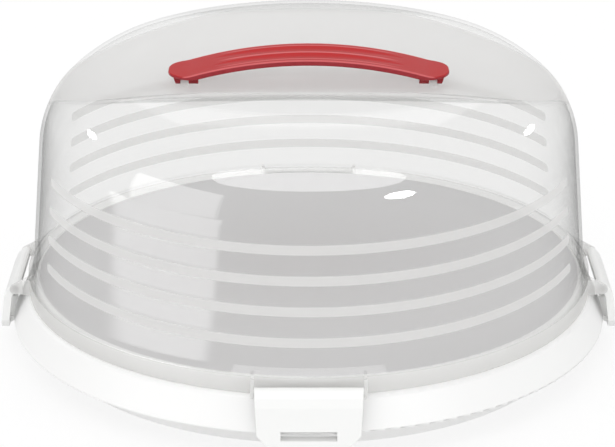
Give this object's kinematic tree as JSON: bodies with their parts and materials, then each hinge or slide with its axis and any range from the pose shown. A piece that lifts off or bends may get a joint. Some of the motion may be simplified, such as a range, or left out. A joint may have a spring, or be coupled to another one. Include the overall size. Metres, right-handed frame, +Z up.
{
  "type": "cake carrier",
  "caption": "Round cake carrier with a clear domed cover, a white tray, swing clips at the rim and a red carrying handle.",
  "frame": {"origin": "on the table, under the middle of the tray", "axes": "+Z up; the handle and the valley in the dome run along X; clip_front is towards -Y"},
  "size_m": [0.345, 0.345, 0.1664],
  "materials": {
    "white_plastic": "satin moulded polypropylene",
    "clear_plastic": "clear glossy plastic with satin crown and bands",
    "red_plastic": "semi-gloss moulded plastic",
    "milky_plastic": "milky semi-gloss moulded polypropylene"
  },
  "bodies": {
    "base": {"base_tray": "white_plastic"},
    "dome": {"dome": "clear_plastic"},
    "handle": {"handle": "red_plastic"},
    "clip_front": {"clip_front": "milky_plastic"},
    "clip_right": {"clip_right": "milky_plastic"},
    "clip_rear": {"clip_rear": "milky_plastic"},
    "clip_left": {"clip_left": "milky_plastic"}
  },
  "joints": [
    {"name": "dome_lift", "type": "slide", "parent": "base", "child": "dome", "axis": [0, 0, 1], "range_m": [0, 0.14]},
    {"name": "handle_tilt", "type": "hinge", "parent": "dome", "child": "handle", "pos_m": [0, 0, 0.14969], "axis": [1, 0, 0], "range_deg": [-18, 18]},
    {"name": "clip_front_swing", "type": "hinge", "parent": "dome", "child": "clip_front", "pos_m": [0, -0.163, 0.0362], "axis": [-1, 0, 0], "range_deg": [-3.5, 110]},
    {"name": "clip_right_swing", "type": "hinge", "parent": "dome", "child": "clip_right", "pos_m": [0.163, 0, 0.0362], "axis": [0, -1, 0], "range_deg": [-3.5, 110]},
    {"name": "clip_rear_swing", "type": "hinge", "parent": "dome", "child": "clip_rear", "pos_m": [0, 0.163, 0.0362], "axis": [1, 0, 0], "range_deg": [-3.5, 110]},
    {"name": "clip_left_swing", "type": "hinge", "parent": "dome", "child": "clip_left", "pos_m": [-0.163, 0, 0.0362], "axis": [0, 1, 0], "range_deg": [-3.5, 110]}
  ]
}
